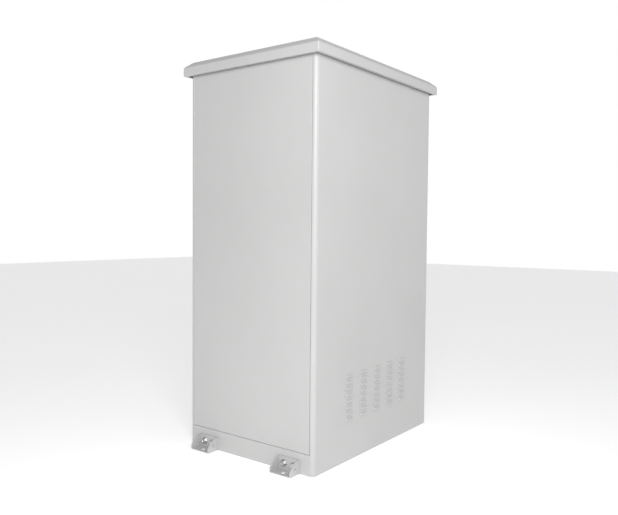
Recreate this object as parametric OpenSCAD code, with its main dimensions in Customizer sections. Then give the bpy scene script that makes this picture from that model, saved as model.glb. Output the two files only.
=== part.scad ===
// Roadside utility cabinet: a welded frame in folded sheet walls under a raised rain hood,
// with a hinged front door, a removable rear panel, a 19-inch rack and roof fans.
// Millimetres. +Z up, front (door) towards -Y, origin at the bottom centre of the footprint.

/* [Body] */
// Width across the side walls
body_w = 660; // [620:10:900]
// Depth from the front face to the rear face
body_d = 900; // [840:10:1100]
// Height from the ground to the underside of the rain hood
wall_h = 1560; // [1500:10:2200]
// Thickness of the folded steel sheet
sheet = 2; // [1.5:0.1:2.5]
// Width of the frame face beside the door and beside the rear panel
jamb_w = 20; // [16:1:30]
// Height of the sill under the door and the rear panel
sill_h = 80; // [60:5:120]
// Gap round the fixed rear panel
panel_gap = 1.2; // [1:0.2:3]

/* [Rain hood] */
// Overhang of the hood past the walls
hood_over = 23; // [10:1:40]
// Height of the upright hood edge
hood_edge = 36; // [20:1:60]
// Height of the sloping edge of the hood
hood_rise = 25; // [10:1:40]
// Width of the sloping edge of the hood
hood_run = 30; // [10:1:50]
// Width of the lip folded in under the hood
hood_lip = 14; // [8:1:18]

/* [Side louvres] */
// Columns of louvres in the left wall
louvre_cols = 5; // [1:1:6]
// Rows of louvres in the left wall
louvre_rows = 8; // [1:1:10]
// Distance between the louvre columns
louvre_col_step = 106; // [60:1:120]
// Distance between the louvre rows
louvre_row_step = 25; // [20:1:40]
// Height of the lowest row of louvres
louvre_z = 169; // [165:1:200]
// Offset of the louvre field from the middle of the wall
louvre_y = 5; // [-20:1:20]
// Width of one louvre
louvre_w = 45; // [30:1:60]

/* [Anchor brackets] */
// Distance of each bracket from the middle of the cabinet
bracket_x = 215; // [150:5:250]
// Width between the outer faces of the bracket's ears
bracket_w = 100; // [80:2:120]
// How far a bracket stands out from the sill
bracket_out = 58; // [50:1:80]
// Height of a bracket
bracket_h = 53; // [50:1:70]
// Thickness of the bracket plate
bracket_t = 4; // [3:0.5:6]
// Distance of the anchor hole from the sill
anchor_out = 36; // [30:1:40]
// Diameter of the anchor hole
anchor_d = 18; // [13:1:20]

/* [Rack] */
// Height units that the rack rails take
rack_units = 30; // [20:1:30]
// Distance of the front and rear rails from the middle of the depth
rail_y = 330; // [250:5:340]

/* [Door lock] */
// Height of the handle spindle
handle_z = 980; // [800:10:1200]
// Distance of the handle spindle from the middle of the door
handle_x = 262; // [256:1:262]

/* [Output] */
// Node to draw, or all

/* [Hidden] */

$fn = 64;
bend_r = 3;
strip_gap = 0.1;
hw = body_w / 2;
hd = body_d / 2;
corner_r = jamb_w - bend_r;
open_x = hw - jamb_w;
seal_y = hd - 28;
lip_x = open_x - 18;
wall_top = wall_h + 15;
deck_z = wall_top - sheet;
head_front = wall_h - 4;
head_rear = wall_h + 6;
ring_z = deck_z - sheet;
hood_x = hw + hood_over;
hood_y = hd + hood_over;
hood_shoulder = wall_h + hood_edge;
hood_top = hood_shoulder + hood_rise;
post_y = hd - 62;
post_x = hw - 2 * sheet;
tube_x = 262;
tube_out = post_x - 2.5;
tube_h = 60;
tube_low_z = sill_h + 4;
tube_top_z = 1400;
unit_h = 44.45;
rack_z = 120;
rack_hole_x = 232.55;
floor_z = sill_h + sheet;
fan_y = 160;
fan_z = deck_z - 38;
door_x = open_x - 4;
door_bottom = sill_h + 4;
door_top = head_front - 4;
door_in = hd - 20;
hinge_x = open_x - 2;
hinge_y = -hd - 6.5;
hinge_zs = [220, 818, 1416];
rod_y = -hd + 38;
rod_dx = 18;
gear_m = 2;
gear_teeth = 12;
gear_r = gear_m * gear_teeth / 2;
key_z = handle_z - 192;
bolt_dx = 23;
bolt_z = 28;
panel_screw_xs = [-240, -80, 80, 240];
panel_screw_z = head_rear - 20;
breaker_z = rack_z + 28.5 * unit_h;
shelf_z = rack_z + 7 * unit_h;
strip_z = rack_z + 26 * unit_h;
screw_zs = [shelf_z + 6.35, shelf_z + 38.1, strip_z + 6.35, strip_z + 38.1,
            breaker_z - unit_h / 2 - unit_h + 6.35, breaker_z + unit_h / 2 + 38.1];
gland_xs = [-90, -30, 30, 90];
gland_y = 180;
body_grey = [0.82, 0.83, 0.83];
steel = [0.72, 0.73, 0.75];
zinc = [0.66, 0.67, 0.68];
black = [0.09, 0.09, 0.10];

// ---- helpers ----

// A block between two corners, given as pairs along each axis
module box(x, y, z) {
    translate([min(x), min(y), min(z)])
        cube([max(x) - min(x), max(y) - min(y), max(z) - min(z)]);
}

// A rectangle between two corners
module flat(x, y) {
    translate([min(x), min(y)]) square([max(x) - min(x), max(y) - min(y)]);
}

// A quarter ring: a fold of outer radius ro around c, in the quadrant given by sx, sy
module fold(c, ro, sx, sy) {
    translate(c)
        intersection() {
            difference() {
                circle(r = ro);
                circle(r = ro - sheet);
            }
            flat([0, sx * ro], [0, sy * ro]);
        }
}

// A rectangle with round corners, built from exact arcs
module round_rect(w, d, r) {
    square([w - 2 * r, d], center = true);
    square([w, d - 2 * r], center = true);
    for (sx = [-1, 1], sy = [-1, 1])
        translate([sx * (w / 2 - r), sy * (d / 2 - r)]) circle(r = r);
}

// A cylinder along Y between y0 and y1
module y_rod(r, y0, y1, fn = 64) {
    translate([0, max(y0, y1), 0]) rotate([90, 0, 0]) cylinder(r = r, h = abs(y1 - y0), $fn = fn);
}

// A cylinder along X between x0 and x1
module x_rod(r, x0, x1) {
    translate([min(x0, x1), 0, 0]) rotate([0, 90, 0]) cylinder(r = r, h = abs(x1 - x0));
}

// ---- walls ----

// Plan of the side wall with its two rounded corners, for the +X side
module wall_plan() {
    flat([hw - sheet, hw], [-(hd - corner_r), hd - corner_r]);
    for (sy = [-1, 1]) fold([hw - corner_r, sy * (hd - corner_r)], corner_r, 1, sy);
}

// Plan of the folds beside an opening: corner edge, jamb and sealing lip
module jamb_plan(sy) {
    fold([open_x + bend_r, sy * (hd - bend_r)], bend_r, -1, sy);
    flat([open_x, open_x + sheet], [sy * (seal_y + bend_r - sheet), sy * (hd - bend_r)]);
    fold([open_x - bend_r + sheet, sy * (seal_y + bend_r - sheet)], bend_r, 1, -sy);
    flat([lip_x, open_x - bend_r + sheet], [sy * (seal_y - sheet), sy * seal_y]);
}

module wall_edge(sy, z0, z1) {
    translate([0, 0, z0])
        linear_extrude(z1 - z0) flat([open_x, open_x + bend_r], [sy * (hd - sheet), sy * hd]);
}

module plain_wall() {
    translate([0, 0, 2]) linear_extrude(wall_top - 2) wall_plan();
    translate([0, 0, sill_h]) linear_extrude(head_front - sill_h) jamb_plan(-1);
    translate([0, 0, sill_h]) linear_extrude(head_rear - sill_h) jamb_plan(1);
    wall_edge(-1, 2, sill_h);
    wall_edge(-1, head_front, wall_top);
    wall_edge(1, 2, sill_h);
    wall_edge(1, head_rear, wall_top);
}

// One pressed louvre on the +X wall, open underneath, centred on its top bend
module louvre_hood() {
    w = louvre_w;
    rotate([90, 0, 0]) translate([0, 0, -w / 2]) {
        linear_extrude(w)
            polygon([[-0.5, 8], [0, 8], [6.5, -3], [6.5, -6], [5, -6], [5, -3.4], [-0.5, 5.6]]);
        for (z = [0, w - 1.5])
            translate([0, 0, z])
                linear_extrude(1.5) polygon([[-0.5, 8], [0, 8], [6.5, -3], [6.5, -6], [-0.5, -6]]);
    }
}

module louvre_places() {
    for (c = [0 : louvre_cols - 1], r = [0 : louvre_rows - 1])
        translate([hw,
                   louvre_y + (c - (louvre_cols - 1) / 2) * louvre_col_step,
                   louvre_z + r * louvre_row_step])
            children();
}

module side_wall_left() {
    color(body_grey)
        mirror([1, 0, 0]) {
            difference() {
                plain_wall();
                louvre_places() box([-3, 1], [-louvre_w / 2 + 1.5, louvre_w / 2 - 1.5], [-6, 5]);
            }
            louvre_places() louvre_hood();
        }
}

module side_wall_right() {
    color(body_grey) plain_wall();
}

// ---- frame ----

// The rails and posts are welded from flat strips, each a solid of its own, strip_gap apart

// Flange of a sill rail, with its outer corners cut off inside the walls' folds
module sill_flange(sy, inner, z0, z1) {
    edge = hd - sheet - strip_gap;
    corner = hd - corner_r;
    translate([0, 0, z0])
        linear_extrude(z1 - z0)
            polygon([[-post_x, sy * inner], [post_x, sy * inner], [post_x, sy * corner],
                     [open_x, sy * edge], [-open_x, sy * edge], [-post_x, sy * corner]]);
}

module sill_rails() {
    color(body_grey)
        for (sy = [-1, 1]) {
            difference() {
                box([-open_x, open_x], [sy * (hd - sheet), sy * hd], [0, sill_h]);
                for (sx = [-1, 1], d = [-bolt_dx, bolt_dx])
                    translate([sx * bracket_x + d, 0, bolt_z]) y_rod(6.5, sy * (hd - 10), sy * (hd + 10));
            }
            sill_flange(sy, seal_y - sheet, sill_h - sheet, sill_h);
            sill_flange(sy, hd - 50, 0, 3);
            box([-lip_x + 0.5, lip_x - 0.5], [sy * (seal_y - sheet), sy * seal_y],
                [sill_h + strip_gap, sill_h + 18]);
        }
}

module side_rails() {
    color(body_grey)
        for (sx = [-1, 1]) {
            flange_x = [sx * (post_x - 40), sx * (post_x - strip_gap)];
            box([sx * post_x, sx * (hw - sheet)], [-(hd - corner_r), hd - corner_r], [0, sill_h]);
            box(flange_x, [-(seal_y - sheet), seal_y - sheet], [sill_h - sheet, sill_h]);
            box(flange_x, [-(hd - 50), hd - 50], [0, 3]);
        }
}

module corner_posts() {
    z = [sill_h, ring_z];
    inner = post_y - 2.5;
    color(body_grey)
        for (sx = [-1, 1], sy = [-1, 1]) {
            box([sx * (post_x - 40), sx * post_x], [sy * inner, sy * post_y], z);
            difference() {
                box([sx * (post_x - 2.5), sx * post_x], [sy * (post_y - 40), sy * (inner - strip_gap)], z);
                for (low = [tube_low_z, tube_top_z])
                    translate([0, sy * (post_y - 22), low + tube_h / 2])
                        x_rod(4.2, sx * (post_x - 6), sx * (post_x + 1));
            }
        }
}

module header(sy, z, drop) {
    box([-open_x, open_x], [sy * (hd - sheet), sy * hd], [z, deck_z]);
    box([-open_x, open_x], [sy * (seal_y - sheet), sy * (hd - sheet)], [z, z + sheet]);
    box([-lip_x + 0.5, lip_x - 0.5], [sy * (seal_y - sheet), sy * seal_y], [z - drop, z + sheet]);
}

module head_frame() {
    side_y = [-(hd - corner_r), hd - corner_r];
    color(body_grey)
        difference() {
            union() {
                header(-1, head_front, 18);
                header(1, head_rear, 26);
                for (sx = [-1, 1]) {
                    box([sx * post_x, sx * (hw - sheet)], side_y, [ring_z - 40, deck_z]);
                    box([sx * (post_x - 26), sx * post_x], [-(post_y - 40), post_y - 40],
                        [ring_z - 40, ring_z - 38]);
                }
                translate([0, 0, ring_z])
                    linear_extrude(sheet)
                        difference() {
                            union() {
                                flat([-open_x - sheet, open_x + sheet], [-hd + sheet, hd - sheet]);
                                flat([-post_x, post_x], side_y);
                            }
                            flat([-post_x + 30, post_x - 30], [-hd + 46, hd - 46]);
                        }
            }
            hood_places() translate([0, 0, ring_z - 1]) cylinder(r = 4.3, h = 4);
            for (x = panel_screw_xs) translate([x, 0, panel_screw_z]) y_rod(3.3, seal_y - 5, seal_y + 1);
        }
}

module floor_plate() {
    color(steel)
        translate([0, 0, sill_h])
            linear_extrude(sheet)
                difference() {
                    flat([-post_x + 0.5, post_x - 0.5], [-seal_y + 2.5, seal_y - 2.5]);
                    for (sx = [-1, 1], sy = [-1, 1])
                        flat([sx * (post_x - 41), sx * (post_x + 1)],
                             [sy * (post_y - 41), sy * (post_y + 1)]);
                    flat([-140, 140], [gland_y - 75, gland_y + 75]);
                    for (sx = [-1, 1]) translate([sx * 130, 352]) circle(r = 5.2);
                }
}

module gland_plate() {
    color(steel)
        translate([0, 0, floor_z])
            linear_extrude(3)
                difference() {
                    translate([0, gland_y]) round_rect(320, 180, 6);
                    for (x = gland_xs) translate([x, gland_y]) circle(r = 16.2);
                }
}

module cable_glands() {
    color(black)
        for (x = gland_xs)
            translate([x, gland_y, floor_z])
                difference() {
                    union() {
                        translate([0, 0, -13]) cylinder(r = 16, h = 17);
                        translate([0, 0, 3]) cylinder(r = 21, h = 8, $fn = 6);
                        translate([0, 0, 11]) cylinder(r = 18, h = 9);
                        translate([0, 0, 20]) cylinder(r1 = 18, r2 = 13, h = 10);
                    }
                    translate([0, 0, -14]) cylinder(r = 9, h = 46);
                }
}

module gland_nuts() {
    color(black)
        for (x = gland_xs)
            translate([x, gland_y, floor_z - 7])
                difference() {
                    cylinder(r = 21, h = 7, $fn = 6);
                    translate([0, 0, -1]) cylinder(r = 16.05, h = 9);
                }
}

// ---- roof ----

module hood_places() {
    for (sx = [-1, 1], y = [-400, 0, 400]) translate([sx * 305, y, 0]) children();
}

module fan_screw_places() {
    for (sy = [-1, 1], dx = [-52.5, 52.5], dy = [-52.5, 52.5])
        translate([dx, sy * fan_y + dy, 0]) children();
}

module roof_deck() {
    color(steel)
        translate([0, 0, deck_z])
            linear_extrude(sheet)
                difference() {
                    round_rect(body_w - 2 * sheet, body_d - 2 * sheet, corner_r - sheet);
                    for (sy = [-1, 1]) translate([0, sy * fan_y]) circle(r = 57);
                    fan_screw_places() circle(r = 2.1);
                    hood_places() circle(r = 4.3);
                }
}

// Solid of the hood's outer or inner form, cut from two crossed prisms
module hood_form(inset, z0) {
    top = hood_top - inset;
    shoulder = hood_shoulder - inset * 0.5;
    intersection() {
        translate([0, hood_y + 10, 0]) rotate([90, 0, 0])
            linear_extrude(2 * hood_y + 20)
                polygon([[-hood_x + inset, z0], [hood_x - inset, z0], [hood_x - inset, shoulder],
                         [hood_x - hood_run - inset * 0.4, top], [-hood_x + hood_run + inset * 0.4, top],
                         [-hood_x + inset, shoulder]]);
        translate([-hood_x - 10, 0, 0]) rotate([90, 0, 90])
            linear_extrude(2 * hood_x + 20)
                polygon([[-hood_y + inset, z0], [hood_y - inset, z0], [hood_y - inset, shoulder],
                         [hood_y - hood_run - inset * 0.4, top], [-hood_y + hood_run + inset * 0.4, top],
                         [-hood_y + inset, shoulder]]);
    }
}

module rain_hood() {
    color(body_grey)
        difference() {
            hood_form(0, wall_h);
            hood_form(sheet, wall_h + sheet);
            box([-hood_x + hood_lip, hood_x - hood_lip], [-hood_y + hood_lip, hood_y - hood_lip],
                [wall_h - 1, wall_h + sheet + 1]);
        }
}

module hood_spacers() {
    color(zinc)
        hood_places()
            translate([0, 0, wall_top])
                difference() {
                    cylinder(r = 10, h = hood_top - sheet - wall_top);
                    translate([0, 0, -1]) cylinder(r = 4.05, h = 34);
                }
}

// Bolts of the rain hood and screws of the fans
module roof_fixings() {
    color(zinc) {
        hood_places() translate([0, 0, ring_z]) m8_bolt(33);
        fan_screw_places()
            translate([0, 0, fan_z - 1.5]) {
                translate([0, 0, -2.6]) cylinder(r = 3.6, h = 2.6);
                translate([0, 0, -0.5]) cylinder(r = 2, h = 43);
            }
    }
}

// ---- fans ----

module fan_housing(sy) {
    color(black)
        translate([0, sy * fan_y, fan_z])
            difference() {
                union() {
                    for (z = [0, 34]) translate([0, 0, z]) linear_extrude(4) round_rect(119, 119, 6);
                    cylinder(r = 59, h = 38);
                    for (dx = [-52.5, 52.5], dy = [-52.5, 52.5])
                        translate([dx, dy, 0]) cylinder(r = 5, h = 38);
                }
                difference() {
                    translate([0, 0, -1]) cylinder(r = 57, h = 40);
                    translate([0, 0, 1]) cylinder(r = 27, h = 5);
                    for (a = [45, 135])
                        rotate([0, 0, a]) box([-60, 60], [-2.5, 2.5], [1, 5]);
                }
                translate([0, 0, -1]) cylinder(r = 2.05, h = 8);
                for (dx = [-52.5, 52.5], dy = [-52.5, 52.5])
                    translate([dx, dy, -1]) cylinder(r = 2.2, h = 40);
            }
}

module fan_rotor(sy) {
    color(black)
        translate([0, sy * fan_y, fan_z]) {
            translate([0, 0, 8]) cylinder(r = 26, h = 25);
            translate([0, 0, 1.5]) cylinder(r = 2, h = 7);
            intersection() {
                for (a = [0 : 51.4285 : 359])
                    rotate([0, 0, a]) translate([0, 0, 20.5]) rotate([38, 0, 0])
                        box([24, 60], [-14, 14], [-1, 1]);
                difference() {
                    cylinder(r = 55.5, h = 36);
                    translate([0, 0, -1]) cylinder(r = 25, h = 38);
                }
            }
        }
}

module fan_guards() {
    color(zinc)
        for (sy = [-1, 1])
            translate([0, sy * fan_y, fan_z - 1.5])
                linear_extrude(1.5)
                    difference() {
                        union() {
                            for (r = [18, 31, 44, 57])
                                difference() {
                                    circle(r = r + 1);
                                    circle(r = r - 1);
                                }
                            for (a = [45, 135])
                                rotate(a) square([2 * 76, 3], center = true);
                            for (dx = [-52.5, 52.5], dy = [-52.5, 52.5]) translate([dx, dy]) circle(r = 5);
                        }
                        for (dx = [-52.5, 52.5], dy = [-52.5, 52.5]) translate([dx, dy]) circle(r = 2.2);
                    }
}

// ---- air filter behind the louvres ----

module filter_frame() {
    color(zinc)
        difference() {
            box([-hw + sheet, -hw + sheet + 22], [-262, 272], [146, 368]);
            box([-hw + sheet - 1, -hw + sheet + 20], [-260, 270], [148, 366]);
            for (i = [0 : 4])
                box([-hw + sheet + 15, -hw + sheet + 25], [-250 + i * 104, -156 + i * 104], [158, 356]);
        }
}

module filter_mat() {
    color([0.55, 0.57, 0.58])
        box([-hw + sheet + 4, -hw + sheet + 19.5], [-259.5, 269.5], [148.5, 365.5]);
}

// ---- rack ----

module depth_rail(sx, z) {
    run = [-post_y + 4, post_y - 4];
    side_z = [z + 2 + strip_gap, z + tube_h - 2 - strip_gap];
    color(steel)
        difference() {
            union() {
                for (low = [z, z + tube_h - 2]) box([sx * tube_x, sx * tube_out], run, [low, low + 2]);
                for (x = [tube_x, tube_out - 2]) box([sx * x, sx * (x + 2)], run, side_z);
            }
            for (sy = [-1, 1]) {
                translate([0, sy * (post_y - 22), z + tube_h / 2])
                    x_rod(4.2, sx * (tube_out - 4), sx * (tube_out + 1));
                translate([0, sy * (rail_y - 22), z + tube_h / 2])
                    x_rod(4.2, sx * (tube_x - 1), sx * (tube_x + 4));
            }
        }
}

module rack_rail(sx, sy) {
    z0 = tube_low_z + 1;
    z1 = rack_z + rack_units * unit_h + 5;
    color(steel) {
        difference() {
            box([sx * 225, sx * tube_x], [sy * rail_y, sy * (rail_y - 2)], [z0, z1]);
            translate([0, sy * rail_y + 5, 0]) rotate([90, 0, 0])
                linear_extrude(10)
                    for (u = [0 : rack_units - 1], h = [6.35, 22.225, 38.1])
                        translate([sx * rack_hole_x, rack_z + u * unit_h + h]) square(9.5, center = true);
        }
        difference() {
            box([sx * (tube_x - 2), sx * tube_x], [sy * (rail_y - 40), sy * (rail_y - 2 - strip_gap)], [z0, z1]);
            for (z = [tube_low_z, tube_top_z])
                translate([0, sy * (rail_y - 22), z + tube_h / 2])
                    x_rod(4.2, sx * (tube_x - 4), sx * (tube_x + 1));
        }
    }
}

// An M8 hex bolt pointing up, with its head under z = 0
module m8_bolt(length) {
    translate([0, 0, -5.3]) cylinder(r = 7.5, h = 5.3, $fn = 6);
    translate([0, 0, -0.5]) cylinder(r = 4, h = length);
}

module front_screw_places() {
    for (sx = [-1, 1], z = screw_zs) translate([sx * rack_hole_x, -rail_y, z]) children();
    for (sx = [-1, 1], z = [shelf_z + 6.35, shelf_z + 38.1])
        translate([sx * rack_hole_x, rail_y, z]) rotate([0, 0, 180]) children();
}

// Bolts of the rails, cage nuts and the screws in them
module rack_fixings() {
    color(zinc) {
        for (sx = [-1, 1], sy = [-1, 1], z = [tube_low_z, tube_top_z]) {
            translate([sx * (tube_x - 2), sy * (rail_y - 22), z + tube_h / 2])
                rotate([0, sx * 90, 0]) m8_bolt(12.5);
            translate([sx * (tube_out - 2), sy * (post_y - 22), z + tube_h / 2])
                rotate([0, sx * 90, 0]) m8_bolt(6.5);
        }
        front_screw_places()
            difference() {
                union() {
                    box([-4.6, 4.6], [0.1, 3], [-4.6, 4.6]);
                    box([-6.5, 6.5], [2.1, 7], [-6.5, 6.5]);
                }
                y_rod(3.05, -1, 8);
            }
        front_screw_places() {
            y_rod(5.5, -5.5, -2);
            y_rod(3, -2.5, 12);
        }
    }
}

module shelf_plan() {
    difference() {
        flat([-219, 219], [-rail_y + 2, rail_y - 2]);
        for (i = [-3 : 3], j = [-4 : 4])
            translate([i * 56, j * 66]) round_rect(8, 50, 3.9);
    }
}

module equipment_shelf() {
    color(steel) {
        translate([0, 0, shelf_z + 1]) linear_extrude(2) shelf_plan();
        for (sx = [-1, 1]) {
            box([sx * 217, sx * 219], [-rail_y - 2, rail_y + 2], [shelf_z + 1, shelf_z + 43]);
            for (sy = [-1, 1])
                difference() {
                    box([sx * 217, sx * 255], [sy * rail_y, sy * (rail_y + 2)], [shelf_z + 1, shelf_z + 43]);
                    for (h = [6.35, 38.1])
                        translate([sx * rack_hole_x, 0, shelf_z + h]) y_rod(3.3, -rail_y - 5, rail_y + 5);
                }
        }
    }
}

module power_strip() {
    y0 = -rail_y - 2;
    color(black)
        difference() {
            union() {
                box([-219, 219], [y0 - 6, y0 + 44], [strip_z + 1, strip_z + 43.5]);
                box([-241, 241], [y0, y0 + 2], [strip_z + 1, strip_z + 43.5]);
            }
            for (i = [0 : 5])
                translate([-175 + i * 62, 0, strip_z + 22.2]) {
                    y_rod(20, y0 - 7, y0 + 9);
                    for (d = [-9.5, 9.5]) translate([d, 0, 0]) y_rod(2.6, y0 + 8, y0 + 28);
                }
            for (sx = [-1, 1], h = [6.35, 38.1])
                translate([sx * rack_hole_x, 0, strip_z + h]) y_rod(3.3, y0 - 1, y0 + 3);
        }
}

module breaker_panel() {
    y0 = -rail_y - 2;
    color(body_grey) {
        difference() {
            box([-241, 241], [y0, y0 + 2], [breaker_z - 66, breaker_z + 66]);
            box([-100, 100], [y0 - 1, y0 + 3], [breaker_z - 23, breaker_z + 23]);
            for (sx = [-1, 1], z = [-unit_h / 2 - unit_h + 6.35, unit_h / 2 + 38.1])
                translate([sx * rack_hole_x, 0, breaker_z + z]) y_rod(3.3, y0 - 1, y0 + 3);
        }
        for (sx = [-1, 1]) translate([sx * 112, 0, breaker_z]) y_rod(5, y0 + 2, y0 + 40);
    }
}

module din_rail() {
    y0 = -rail_y + 38;
    color(zinc)
        translate([-125, 0, breaker_z])
            rotate([90, 0, 90])
                linear_extrude(250)
                    polygon([[y0, -17.5], [y0 + 1, -17.5], [y0 + 1, -13.5], [y0 + 7.5, -13.5],
                             [y0 + 7.5, 13.5], [y0 + 1, 13.5], [y0 + 1, 17.5], [y0, 17.5],
                             [y0, 12.5], [y0 + 6.5, 12.5], [y0 + 6.5, -12.5], [y0, -12.5]]);
}

module main_breaker() {
    y0 = -rail_y + 38;
    color([0.88, 0.88, 0.86])
        difference() {
            union() {
                box([-18, 18], [y0 - 34, y0 - 0.2], [breaker_z - 42, breaker_z + 42]);
                box([-18, 18], [y0 - 58, y0 - 33], [breaker_z - 22.5, breaker_z + 22.5]);
            }
            box([-8.3, 8.3], [y0 - 60, y0 - 46], [breaker_z - 9, breaker_z + 9]);
        }
}

module breaker_toggle() {
    y0 = -rail_y + 38;
    color(black)
        translate([0, y0 - 53.5, breaker_z]) {
            x_rod(6, -8, 8);
            rotate([-25, 0, 0]) box([-8, 8], [-17, 0], [-2.2, 2.2]);
        }
}

// ---- earthing ----

module earth_bar() {
    color([0.80, 0.50, 0.30])
        translate([0, 352, 122])
            linear_extrude(5)
                difference() {
                    square([300, 25], center = true);
                    for (i = [-3 : 3]) translate([i * 30, 0]) circle(r = 4.5);
                    for (sx = [-1, 1]) translate([sx * 130, 0]) circle(r = 4.2);
                }
}

module earth_bar_stands() {
    color([0.60, 0.16, 0.12])
        for (sx = [-1, 1])
            translate([sx * 130, 352, floor_z]) {
                cylinder(r = 11, h = 122 - floor_z);
                translate([0, 0, -12]) cylinder(r = 4, h = 70);
            }
}

// ---- rear panel ----

// Tray of a flush leaf: outer sheet, folded edges and inner return, face at y = face
module leaf_tray(sy, half, z0, z1, edge) {
    inner = half - sheet;
    mouth = half - edge;
    difference() {
        box([-half, half], [sy * door_in, sy * hd], [z0, z1]);
        box([-inner, inner], [sy * (door_in + sheet), sy * (hd - sheet)], [z0 + sheet, z1 - sheet]);
        box([-mouth, mouth], [sy * (door_in - 1), sy * (door_in + sheet + 1)], [z0 + edge, z1 - edge]);
    }
}

module rear_panel() {
    color(body_grey) {
        difference() {
            leaf_tray(1, open_x - panel_gap, sill_h + panel_gap, head_rear - panel_gap, 26);
            for (x = panel_screw_xs) translate([x, 0, panel_screw_z]) y_rod(3.05, door_in - 1, door_in + 3);
        }
        for (x = [-220, 0, 220]) {
            box([x - 15, x + 15], [door_in - 16, door_in], [door_bottom + 16, door_bottom + 18]);
            box([x - 15, x + 15], [door_in - 16, door_in - 14], [door_bottom + 2, door_bottom + 18]);
        }
    }
}

module seal_ring(y, z0, z1) {
    difference() {
        box([-door_x + 2, door_x - 2], y, [z0, z1]);
        box([-door_x + 9, door_x - 9], [min(y) - 1, max(y) + 1], [z0 + 7, z1 - 7]);
    }
}

module rear_gasket() {
    color(black)
        seal_ring([seal_y, door_in], door_bottom + 2, head_rear - 6);
}

module rear_panel_screws() {
    color(zinc)
        for (x = panel_screw_xs)
            translate([x, 0, panel_screw_z]) {
                y_rod(5.5, seal_y - sheet - 4, seal_y - sheet, 6);
                y_rod(3, seal_y - sheet - 0.5, door_in + 6);
            }
}

// ---- anchor brackets ----

module bracket_places() {
    for (sx = [-1, 1], a = [0, 180]) rotate([0, 0, a]) translate([sx * bracket_x, hd, 0]) children();
}

// Side view of an ear: full height at the sill, falling to a low round nose
module ear_side() {
    difference() {
        union() {
            polygon([[0, 0], [bracket_out, 0], [bracket_out, 20], [bracket_out - 6, 26],
                     [28, bracket_h - 4], [20, bracket_h], [0, bracket_h]]);
        }
        translate([28, 25]) circle(r = 4.5);
    }
}

module anchor_brackets() {
    ear_x = bracket_w / 2;
    color(body_grey)
        bracket_places() {
            difference() {
                box([-ear_x, ear_x], [0, bracket_out], [0, bracket_t]);
                translate([0, anchor_out, -1]) cylinder(d = anchor_d, h = bracket_t + 2);
            }
            difference() {
                box([-ear_x - 5, ear_x + 5], [0, bracket_t], [0, bracket_h]);
                for (d = [-bolt_dx, bolt_dx]) translate([d, 0, bolt_z]) y_rod(6.5, -1, bracket_t + 1);
            }
            for (x = [-ear_x, ear_x - bracket_t])
                translate([x, 0, 0]) rotate([90, 0, 90]) linear_extrude(bracket_t) ear_side();
        }
}

module bracket_bolt_places() {
    bracket_places() for (d = [-bolt_dx, bolt_dx]) translate([d, 0, bolt_z]) children();
}

module bracket_washers() {
    color(zinc)
        bracket_bolt_places()
            difference() {
                y_rod(14, bracket_t, bracket_t + 2.5);
                y_rod(6.5, bracket_t - 1, bracket_t + 4);
            }
}

module bracket_bolts() {
    y0 = bracket_t + 2.5;
    color(zinc)
        bracket_bolt_places() {
            y_rod(10.97, y0, y0 + 7.5, 6);
            y_rod(6, -17, y0 + 0.5);
        }
}

module bracket_nuts() {
    color(zinc)
        bracket_bolt_places()
            difference() {
                y_rod(10.97, -sheet - 10.8, -sheet, 6);
                y_rod(6.05, -sheet - 12, 0);
            }
}

// ---- door ----

module door_leaf() {
    color(body_grey)
        difference() {
            leaf_tray(-1, door_x, door_bottom, door_top, 18);
            translate([-handle_x, 0, handle_z]) y_rod(10, -hd - 1, -hd + sheet + 1);
            translate([-handle_x, 0, key_z]) y_rod(8.6, -hd - 1, -hd + sheet + 1);
        }
}

module door_stiffeners() {
    color(body_grey)
        for (z = [420, 1180])
            difference() {
                box([-215, 280], [-hd + sheet, -door_in - sheet], [z, z + 60]);
                box([-216, 281], [-hd + sheet - 1, -door_in - 2 * sheet], [z + 2, z + 58]);
            }
}

module door_gasket() {
    color(black)
        seal_ring([-door_in, -seal_y - 0.4], door_bottom + 2, door_top - 2);
}

module document_pocket() {
    y0 = -door_in - sheet;
    color(steel)
        difference() {
            box([-150, 150], [y0, y0 + 34], [1080, 1330]);
            box([-148, 148], [y0 + 2, y0 + 32], [1082, 1340]);
        }
}

module hinge_places() {
    for (z = hinge_zs) translate([hinge_x, hinge_y, z]) children();
}

module hinge_frame_leaves() {
    color(zinc)
        hinge_places()
            difference() {
                union() {
                    translate([0, 0, -40]) cylinder(r = 5.5, h = 39.6);
                    box([0.5, 2], [1, 8], [-40, -0.4]);
                    box([0.5, 2], [7, 26], [-40, 40]);
                }
                translate([0, 0, -41]) cylinder(r = 3.05, h = 42);
            }
}

module hinge_door_leaves() {
    color(zinc)
        hinge_places()
            difference() {
                union() {
                    cylinder(r = 5.5, h = 40);
                    box([-2, -0.5], [1, 8], [0, 40]);
                    box([-2, -0.5], [7, 26], [-40, 40]);
                }
                translate([0, 0, -1]) cylinder(r = 3.05, h = 42);
            }
}

module hinge_pins() {
    color(steel)
        hinge_places() {
            translate([0, 0, -38]) cylinder(r = 3, h = 76);
        }
}

// ---- handle and lock ----

module handle_plate() {
    color(black)
        translate([-handle_x, -hd, 0])
            difference() {
                translate([0, 0, (handle_z + key_z) / 2]) rotate([90, 0, 0])
                    linear_extrude(6) round_rect(44, handle_z - key_z + 54, 12);
                translate([0, 0, handle_z]) y_rod(9.1, -7, 1);
                translate([0, 0, key_z]) y_rod(8.1, -7, 1);
            }
}

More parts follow.
